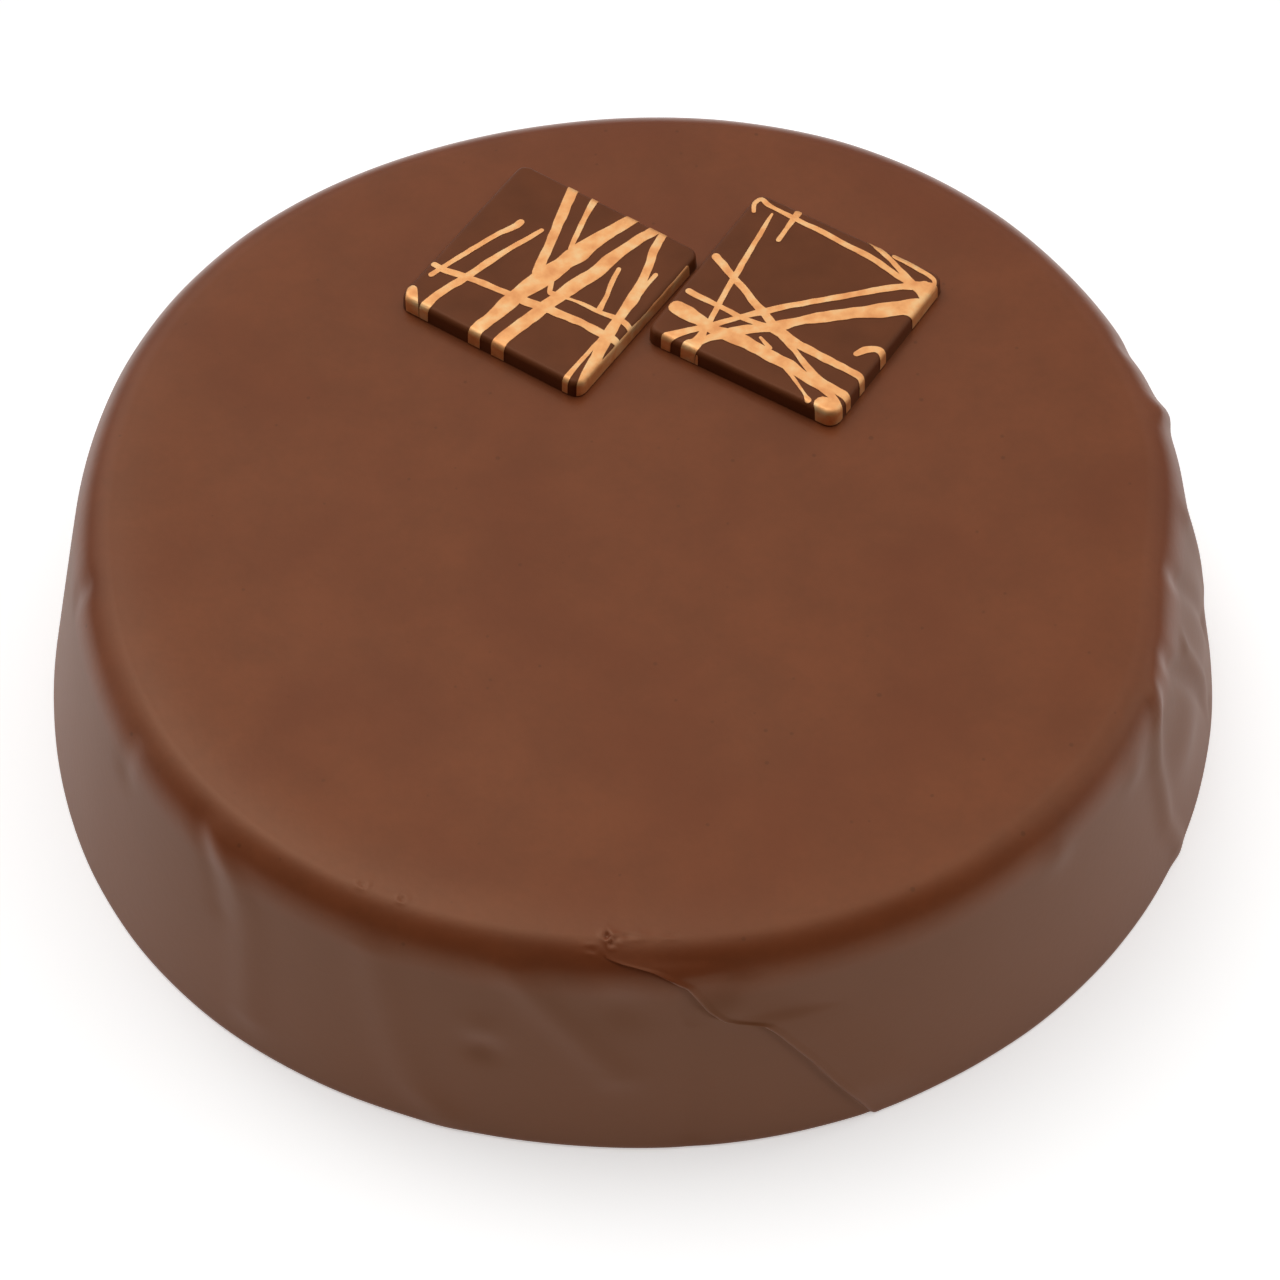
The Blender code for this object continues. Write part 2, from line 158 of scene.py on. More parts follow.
# Burst air bubbles and pinholes along the rim: azimuth, radius, half width, depth
PITS = (
    (-92.7, 78.5, 0.55, 0.35),
    (-91.8, 78.9, 0.5, 0.35),
    (-92.2, 79.6, 0.5, 0.3),
    (-94.2, 80.6, 0.5, 0.25),
    (-91.0, 78.4, 0.4, 0.25),
    (-89.4, 78.5, 0.45, 0.25),
    (-86.3, 78.4, 0.45, 0.25),
    (-114.7, 78.4, 0.45, 0.25),
    (-119.2, 78.4, 0.45, 0.25),
)
PIT_BORDER = 0.5  # the rise of a pit's border, as a share of its depth
PIT_BORDER_PLACE = 1.4  # how far out the border stands, in half widths of the pit
PIT_BORDER_WIDTH = 0.6  # the border's own half width, in the same
PIT_REACH = 4  # at this many half widths nothing is left of the border

# Here the sheet was pulled tight, which draws the rim and the upper wall in
TENT_AZIMUTH = -7.0
TENT_HALF_WIDTH = 12.0
TENT_PULL = 2.4
TENT_LOW = 16.0

WALL_WAVE = 0.10  # the hand-smoothed wall is never quite even
WALL_WAVE_LENGTH = (13.0, 13.0, 26.0)  # the waves are longer down the wall than round it
TOP_WAVE = 0.10  # nor is the top, which sinks by up to twice this
TOP_WAVE_LENGTH = 24.0


def cake_profile():
    """(radius, height) from the middle of the top, down the outer side, to the middle of the base."""
    rim_slope = RIM_POWER * RIM_DROP / (RIM_END - RIM_START)
    corner_height = HEIGHT - RIM_DROP - rim_slope * SHOULDER_REACH
    corner_radius = FOOT_RADIUS - WALL_SLOPE * corner_height
    shoulder_foot = corner_height - SHOULDER_HEIGHT
    rim_radius = corner_radius - SHOULDER_REACH
    points = []
    for row in range(TOP_ROWS):
        radius = rim_radius * (1 - (1 - row / TOP_ROWS) ** TOP_CROWDING)
        fall = max(radius - RIM_START, 0) / (RIM_END - RIM_START)
        points.append((radius, HEIGHT - RIM_DROP * fall ** RIM_POWER))
    for row in range(SHOULDER_ROWS, 0, -1):
        turn = math.radians(90 * row / SHOULDER_ROWS)
        inward = SHOULDER_REACH * (1 - max(math.cos(turn), 0) ** (2 / SHOULDER_POWER))
        down = SHOULDER_HEIGHT * (1 - math.sin(turn) ** (2 / SHOULDER_POWER))
        radius = corner_radius - inward + WALL_SLOPE * down
        points.append((radius, corner_height + rim_slope * inward - down))
    for row in range(WALL_ROWS, -1, -1):
        height = FOOT_ROUNDING + (shoulder_foot - FOOT_ROUNDING) * row / WALL_ROWS
        points.append((FOOT_RADIUS - WALL_SLOPE * height, height))
    points.append((FOOT_RADIUS - FOOT_ROUNDING, 0.0))
    points.append((0.0, 0.0))
    return points


def along(table_in, table_out, value):
    """Reads a broken line. The first list runs up or down, and past an end the end's value holds."""
    pairs = sorted(zip(table_in, table_out))
    if value <= pairs[0][0]:
        return pairs[0][1]
    for (low, at_low), (high, at_high) in zip(pairs, pairs[1:]):
        if value <= high:
            return at_low + (at_high - at_low) * (value - low) / (high - low)
    return pairs[-1][1]


@functools.cache
def softly_along(table_in, table_out, value, reach):
    """The broken line with its corners rounded, by averaging it over a short stretch."""
    steps = (-1.0, -0.5, 0.0, 0.5, 1.0)
    return sum(along(table_in, table_out, value + reach * step) for step in steps) / len(steps)


def seam_azimuth(height):
    return softly_along(SEAM_HEIGHTS, SEAM_AZIMUTHS, height, SEAM_ROUNDING)


def turn_between(azimuth, other):
    """Degrees from the other azimuth to this one, between -180 and 180."""
    return (azimuth - other + 180) % 360 - 180


def mm_between(azimuth, other):
    return math.radians(turn_between(azimuth, other)) * FOOT_RADIUS


def bell(distance, half_width):
    return math.exp(-((distance / half_width) ** 2))


def fade_in(value, start, end):
    """0 before start, 1 after end, and smooth between them."""
    share = min(max((value - start) / (end - start), 0.0), 1.0)
    return share * share * (3 - 2 * share)


def bent_azimuth(azimuth, height):
    """Moves a column sideways, so that the columns crowd along the seam and follow it down."""
    middle = (min(SEAM_AZIMUTHS) + max(SEAM_AZIMUTHS)) / 2
    away = turn_between(azimuth, middle)
    crowded = away * (1 - SEAM_CROWDING * bell(away, SEAM_CROWD_WIDTH))
    lean = turn_between(seam_azimuth(height), middle)
    return middle + crowded + lean * (1 - fade_in(abs(away), SEAM_CROWD_WIDTH, SEAM_REACH))


def seam_rise(azimuth, height):
    """The right-hand sheet lies over the left-hand one, and its edge dies out at the shoulder."""
    behind = mm_between(azimuth, seam_azimuth(height))
    if abs(behind) > 2 * SEAM_FADE:
        return 0.0
    strength = 1 - fade_in(height, *SEAM_DIES_OUT)
    strength *= SEAM_AT_FOOT + (1 - SEAM_AT_FOOT) * fade_in(height, *SEAM_PRESSED)
    sheet = SEAM_STEP * fade_in(behind, -SEAM_EDGE, SEAM_EDGE) * (1 - fade_in(behind, 0, SEAM_FADE))
    lip = SEAM_LIP * bell(behind - LIP_BEHIND, LIP_HALF_WIDTH)
    groove = SEAM_GROOVE * bell(behind - GROOVE_BEHIND, GROOVE_HALF_WIDTH)
    return strength * (sheet + lip - groove)


def folds_rise(azimuth, height):
    total = 0.0
    for heights, azimuths, half_width, rise in FOLDS:
        aside = mm_between(azimuth, softly_along(heights, azimuths, height, FOLD_ROUNDING))
        past_end = max(height - max(heights), min(heights) - height, 0.0)
        if abs(aside) < BELL_REACH * half_width:
            total += rise * bell(aside, half_width) * bell(past_end, FOLD_END)
    for dent_height, dent_azimuth, half_width, rise in DENTS:
        away = math.hypot(mm_between(azimuth, dent_azimuth), height - dent_height)
        if away < BELL_REACH * half_width:
            total += rise * bell(away, half_width)
    return total


def pits_rise(azimuth, radius):
    """Each pit is a small hollow with a fine raised border."""
    total = 0.0
    for pit_azimuth, pit_radius, half_width, depth in PITS:
        away = math.hypot(mm_between(azimuth, pit_azimuth), radius - pit_radius)
        if away < PIT_REACH * half_width:
            from_border = away - PIT_BORDER_PLACE * half_width
            total += PIT_BORDER * depth * bell(from_border, PIT_BORDER_WIDTH * half_width)
            total -= depth * bell(away, half_width)
    return total


def outline_rise(azimuth):
    return sum(
        size * math.cos(math.radians(waves * (azimuth - peak)))
        for waves, size, peak in OUTLINE_WAVES
    )


def tent_pull(azimuth, height):
    across = bell(turn_between(azimuth, TENT_AZIMUTH), TENT_HALF_WIDTH)
    return TENT_PULL * across * fade_in(height, TENT_LOW, HEIGHT)


def shaped_coating(point):
    """Where a point of the plain turned form lies on the real, uneven coating."""
    height = round(point.z / MM, 3)  # rounded, so that softly_along finds its cached answers
    radius = math.hypot(point.x, point.y) / MM
    azimuth = bent_azimuth(math.degrees(math.atan2(point.y, point.x)), height)
    on_top = fade_in(height, RELIEF_TOP, HEIGHT - RIM_DROP)
    on_wall = 1 - on_top
    pits = pits_rise(azimuth, radius)
    at_rim = fade_in(radius / FOOT_RADIUS, 0.0, OUTLINE_FULL)
    radius += (outline_rise(azimuth) - tent_pull(azimuth, height)) * at_rim
    across = math.cos(math.radians(azimuth))
    deep = math.sin(math.radians(azimuth))
    if on_wall > 0:
        place = Vector(
            (
                radius * across / WALL_WAVE_LENGTH[0],
                radius * deep / WALL_WAVE_LENGTH[1],
                height / WALL_WAVE_LENGTH[2],
            )
        )
        wave = WALL_WAVE * noise.noise(place)
        radius += on_wall * (seam_rise(azimuth, height) + folds_rise(azimuth, height) + wave)
    share = height / HEIGHT
    x = radius * across + TOP_SHIFT[0] * share
    y = radius * deep + TOP_SHIFT[1] * share
    sink = TOP_WAVE * (noise.noise(Vector((x, y, 0)) / TOP_WAVE_LENGTH) - 1) * on_top
    return Vector((x, y, height + sink + pits)) * MM


def object_from(bm, name, material):
    mesh = bpy.data.meshes.new(name)
    bm.to_mesh(mesh)
    bm.free()
    mesh.materials.append(material)
    obj = bpy.data.objects.new(name, mesh)
    bpy.context.scene.collection.objects.link(obj)
    return obj


def shade_smooth(obj, sharp_angle):
    obj.data.shade_smooth()
    obj.data.set_sharp_from_angle(angle=math.radians(sharp_angle))


def linear(code):
    """The linear colour of an sRGB hex code."""
    shares = [int(code[at:at + 2], 16) / 255 for at in (1, 3, 5)]
    values = [s / 12.92 if s <= 0.04045 else ((s + 0.055) / 1.055) ** 2.4 for s in shares]
    return (*values, 1.0)


def new_material(name):
    """A material with the plain shader, and the parts of it that the sections below reach for."""
    material = bpy.data.materials.new(name)
    material.use_nodes = True
    return material, material.node_tree, material.node_tree.nodes["Principled BSDF"]


def add(tree, kind, settings=(), links=()):
    """Adds a node. Settings are its properties, sockets or, as "stops", a ramp's places and
    colours. Links are its sockets with the outputs that feed them."""
    node = tree.nodes.new(kind)
    for name, value in dict(settings).items():
        if name == "stops":
            stops = node.color_ramp.elements
            while len(stops) < len(value):
                stops.new(1.0)
            for stop, (position, colour) in zip(stops, value):
                stop.position = position
                stop.color = colour
        elif isinstance(name, str) and hasattr(node, name):
            setattr(node, name, value)
        else:
            node.inputs[name].default_value = value
    for name, source in dict(links).items():
        tree.links.new(source, node.inputs[name])
    return node


def shades(middle, spread):
    """A ramp's stops from a darker to a lighter shade of one colour."""
    colour = linear(middle)[:3]
    return [
        (place, (*(share * (1 + step * spread) for share in colour), 1.0))
        for place, step in ((0.3, -1), (0.5, 0), (0.7, 1))
    ]


def rolled_milk_chocolate():
    """Milk chocolate paste, rolled thin and smoothed by hand: an even red-brown with a waxy satin
    sheen, faintly clouded, with fine grains and the odd dark speck of cocoa. The wall is painted a
    little darker than the top, as painted shade."""
    grain_share = 0.4
    speck_size = 0.10  # as a share of a cell
    material, tree, shader = new_material("rolled_milk_chocolate")
    place = add(tree, "ShaderNodeTexCoord").outputs["Object"]
    # A scale is how many waves or cells fit in a metre: here clouds of 9 mm, and grains of 1.3 mm,
    # which are coarser than the real ones so that they show
    clouds = add(tree, "ShaderNodeTexNoise", {"Scale": 110.0, "Detail": 3.0}, {"Vector": place})
    grains = add(tree, "ShaderNodeTexNoise", {"Scale": 800.0, "Detail": 3.0}, {"Vector": place})
    mottle = add(
        tree, "ShaderNodeMath", {"operation": "MULTIPLY_ADD", 1: grain_share},
        {0: grains.outputs["Fac"], 2: clouds.outputs["Fac"]},
    )
    centred = add(
        tree, "ShaderNodeMath", {"operation": "SUBTRACT", 1: grain_share / 2},
        {0: mottle.outputs[0]},
    )
    even = add(
        tree, "ShaderNodeValToRGB", {"stops": shades("#7c4125", 0.08)}, {"Fac": centred.outputs[0]},
    )
    # Wide soft blotches of about 24 mm, redder where the paste was worked more
    blotches = add(tree, "ShaderNodeTexNoise", {"Scale": 42.0, "Detail": 2.0}, {"Vector": place})
    worked = add(
        tree, "ShaderNodeMapRange",
        {"From Min": 0.45, "From Max": 0.68, "To Min": 0.0, "To Max": 0.55},
        {"Value": blotches.outputs["Fac"]},
    )
    colour = add(
        tree, "ShaderNodeMix", {"data_type": "RGBA", 7: linear("#72371e")},
        {0: worked.outputs["Result"], 6: even.outputs["Color"]},
    )
    # Specks of cocoa, the largest with a core of 0.6 mm, and one in each 4 mm cell at most
    cells = add(tree, "ShaderNodeTexVoronoi", {"Scale": 250.0}, {"Vector": place})
    chance = add(tree, "ShaderNodeSeparateColor", links={"Color": cells.outputs["Color"]})
    reach = add(
        tree, "ShaderNodeMath", {"operation": "MULTIPLY", 1: -speck_size},
        {0: chance.outputs["Red"]},
    )
    inside = add(
        tree, "ShaderNodeMath", {"operation": "ADD"},
        {0: cells.outputs["Distance"], 1: reach.outputs[0]},
    )
    speck = add(
        tree, "ShaderNodeMapRange",
        {"From Min": -0.03, "From Max": 0.02, "To Min": 0.35, "To Max": 0.0},
        {"Value": inside.outputs[0]},
    )
    specked = add(
        tree, "ShaderNodeMix", {"data_type": "RGBA", 7: linear("#43200f")},
        {0: speck.outputs["Result"], 6: colour.outputs[2]},
    )
    # Painted shade: below the shoulder the wall is painted a little darker and less red than the top,
    # for the dimmer light that falls on it
    level = add(tree, "ShaderNodeSeparateXYZ", links={"Vector": place})
    on_wall = add(
        tree, "ShaderNodeMapRange",
        {"From Min": 33 * MM, "From Max": 38 * MM, "To Min": 0.85, "To Max": 0.0},
        {"Value": level.outputs["Z"]},
    )
    painted_wall_shade = add(
        tree, "ShaderNodeMix", {"data_type": "RGBA", 7: linear("#6f3e20")},
        {0: on_wall.outputs["Result"], 6: specked.outputs[2]},
    )
    tree.links.new(painted_wall_shade.outputs[2], shader.inputs["Base Color"])
    # The palm has polished the top and the rim more than the wall
    polish = add(
        tree, "ShaderNodeMapRange",
        {"From Min": 34 * MM, "From Max": 40 * MM, "To Min": 0.5, "To Max": 0.28},
        {"Value": level.outputs["Z"]},
    )
    tree.links.new(polish.outputs["Result"], shader.inputs["Roughness"])
    shader.inputs["IOR"].default_value = 1.5
    shader.inputs["Specular Tint"].default_value = linear("#ffd4b1")
    grain = add(
        tree, "ShaderNodeBump", {"Strength": 0.2, "Distance": 0.0001},
        {"Height": grains.outputs["Fac"]},
    )
    tree.links.new(grain.outputs["Normal"], shader.inputs["Normal"])
    return material


def coated_cake():
    bm = bmesh.new()
    points = [bm.verts.new((radius * MM, 0, height * MM)) for radius, height in cake_profile()]
    for upper, lower in zip(points, points[1:]):
        bm.edges.new((upper, lower))
    bmesh.ops.spin(
        bm, geom=[*bm.verts, *bm.edges], cent=(0, 0, 0), axis=(0, 0, 1), angle=math.tau,
        steps=COLUMNS, use_merge=True, use_duplicate=False,
    )
    bmesh.ops.remove_doubles(bm, verts=bm.verts, dist=MERGE_DISTANCE * MM)
    bmesh.ops.recalc_face_normals(bm, faces=bm.faces)
    for vertex in bm.verts:
        vertex.co = shaped_coating(vertex.co)
    cake = object_from(bm, "coated_cake", rolled_milk_chocolate())
    shade_smooth(cake, sharp_angle=60)
    return cake


cake = coated_cake()
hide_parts("cake")
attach(cake, "root")

# ---------------------------------------------------------------------------------------------
# The two squares. Dark chocolate cast in a polished mould, 33 mm across and about 3 mm thick,
# with soft round edges, laid on the soft coating so that they press into it very slightly.
# ---------------------------------------------------------------------------------------------

SQUARE_SIDE = 33.2
SQUARE_THICKNESS = 2.5
SQUARE_CORNER = 1.8
SQUARE_CORNER_STEPS = 8
SQUARE_EDGE = 0.9
SQUARE_EDGE_STEPS = 6
SQUARE_DRAFT = 0.15  # its foot reaches this much further out than its face
SQUARE_GAP = 0.3  # the solids leave this gap above the cake, and here the square fills it
SQUARE_SINK = 0.15  # how deep it presses into the coating
SQUARE_FACE = HEIGHT + SQUARE_GAP + SQUARE_THICKNESS  # the height of its painted face
SQUARE_FOOT = HEIGHT - SQUARE_SINK
SQUARE_CUTS = 12  # the face is cut this often each way, so that it can be a little uneven
CUT_DISTANCE = 0.001
SQUARE_WAVE = 0.05
SQUARE_WAVE_LENGTH = 9.0
# The middle of each square and how far it is turned
SQUARES = {
    "left": ((-12.6, 41.6), -33.9),
    "right": ((25.0, 35.6), -31.8),
}


def round_edges(bm, edges, width, steps):
    bmesh.ops.bevel(
        bm, geom=edges, offset=width * MM, segments=steps, profile=0.5, affect="EDGES",
        offset_type="OFFSET", material=-1,
    )


def square_block(swell):
    """A square block with round corners and a rounded face. `swell` grows its face and sides."""
    bm = bmesh.new()
    low, top = SQUARE_FOOT, SQUARE_FACE + swell
    side = SQUARE_SIDE + 2 * swell
    middle = (top + low) / 2 * MM
    size = Matrix.Diagonal((side * MM, side * MM, (top - low) * MM, 1))
    bmesh.ops.create_cube(bm, size=1.0, matrix=Matrix.Translation((0, 0, middle)) @ size)
    upright = [
        edge for edge in bm.edges
        if (edge.verts[0].co.z - middle) * (edge.verts[1].co.z - middle) < 0
    ]
    round_edges(bm, upright, SQUARE_CORNER + swell, SQUARE_CORNER_STEPS)
    around_the_face = [edge for edge in bm.edges if min(vert.co.z for vert in edge.verts) > middle]
    round_edges(bm, around_the_face, SQUARE_EDGE + swell, SQUARE_EDGE_STEPS)
    for cut in range(1, SQUARE_CUTS):
        at = (cut / SQUARE_CUTS - 0.5) * (side - 2 * SQUARE_EDGE) * MM
        for normal in ((1, 0, 0), (0, 1, 0)):
            bmesh.ops.bisect_plane(
                bm, geom=[*bm.verts, *bm.edges, *bm.faces], dist=CUT_DISTANCE * MM,
                plane_co=(at, at, 0), plane_no=normal,
            )
    for vert in bm.verts:
        share = (top * MM - vert.co.z) / ((top - low) * MM)
        widen = 1 + 2 * SQUARE_DRAFT * share / side
        place = Vector((vert.co.x, vert.co.y, 0.0)) / (SQUARE_WAVE_LENGTH * MM)
        vert.co.x *= widen
        vert.co.y *= widen
        vert.co.z += SQUARE_WAVE * MM * noise.noise(place) * (1 - share)
    return bm


def cast_dark_chocolate():
    """Dark chocolate cast in a polished mould: dense brown, smooth and half glossy, with faint
    clouds of cocoa butter and a few rubbed, duller patches from handling."""
    material, tree, shader = new_material("cast_dark_chocolate")
    place = add(tree, "ShaderNodeTexCoord").outputs["Object"]
    # Clouds of about 6 mm
    clouds = add(tree, "ShaderNodeTexNoise", {"Scale": 160.0, "Detail": 4.0}, {"Vector": place})
    colour = add(
        tree, "ShaderNodeValToRGB", {"stops": shades("#6a381e", 0.12)},
        {"Fac": clouds.outputs["Fac"]},
    )
    tree.links.new(colour.outputs["Color"], shader.inputs["Base Color"])
    dull = add(
        tree, "ShaderNodeMapRange", {"To Min": 0.32, "To Max": 0.44},
        {"Value": clouds.outputs["Fac"]},
    )
    tree.links.new(dull.outputs["Result"], shader.inputs["Roughness"])
    shader.inputs["IOR"].default_value = 1.4
    shader.inputs["Specular Tint"].default_value = linear("#ffc4a0")
    # The mould's polish leaves waves of about 1 mm
    fine = add(tree, "ShaderNodeTexNoise", {"Scale": 900.0, "Detail": 2.0}, {"Vector": place})
    skin = add(
        tree, "ShaderNodeBump", {"Strength": 0.12, "Distance": 0.0001},
        {"Height": fine.outputs["Fac"]},
    )
    tree.links.new(skin.outputs["Normal"], shader.inputs["Normal"])
    return material


def put_on_cake(bm, side):
    """Turns a square or its strokes and moves them to their place on the cake."""
    (x, y), turn = SQUARES[side]
    placing = Matrix.Translation((x * MM, y * MM, 0)) @ Matrix.Rotation(math.radians(turn), 4, "Z")
    bmesh.ops.transform(bm, matrix=placing, verts=bm.verts)


dark_chocolate = cast_dark_chocolate()
for side in SQUARES:
    bm = square_block(0.0)
    put_on_cake(bm, side)
    square = object_from(bm, f"square_{side}", dark_chocolate)
    shade_smooth(square, sharp_angle=50)
    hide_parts(f"plaque_{side}")
    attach(square, "root")

# ---------------------------------------------------------------------------------------------
# The copper strokes. Cocoa butter with copper-gold lustre powder, brushed and dripped into the
# mould before the chocolate was cast, so each stroke is a thin smooth skin on the square's face
# that wraps over its round edge and down its side.
# ---------------------------------------------------------------------------------------------

STROKE_SWELL = 0.08  # the thickness of the skin
STROKE_FOOT = 0.25  # down the side it ends this far above the square's foot
STROKE_ABOVE = 0.5  # before it is cut to the skin, a stroke stands this far above the face
STROKE_STAGGER = 0.004  # and each a little higher than the last, so that no two ends are level
STROKE_END_SIDES = 6
STROKE_STEPS = 5  # steps between two named points
STROKE_WANDER = 0.10  # how far the brushed border strays, for each mm of width
STROKE_WANDER_WIDEST = 1.5  # a wider stroke strays no further than one of this width
STROKE_WANDER_LENGTH = 1.6
STROKE_WANDER_LEVELS = (0.0, 7.0)  # places in the noise, one for each border
OVER = 18.5  # a stroke that runs over the edge ends out here
RIM = 16.9  # a stroke along here coats the side of the square

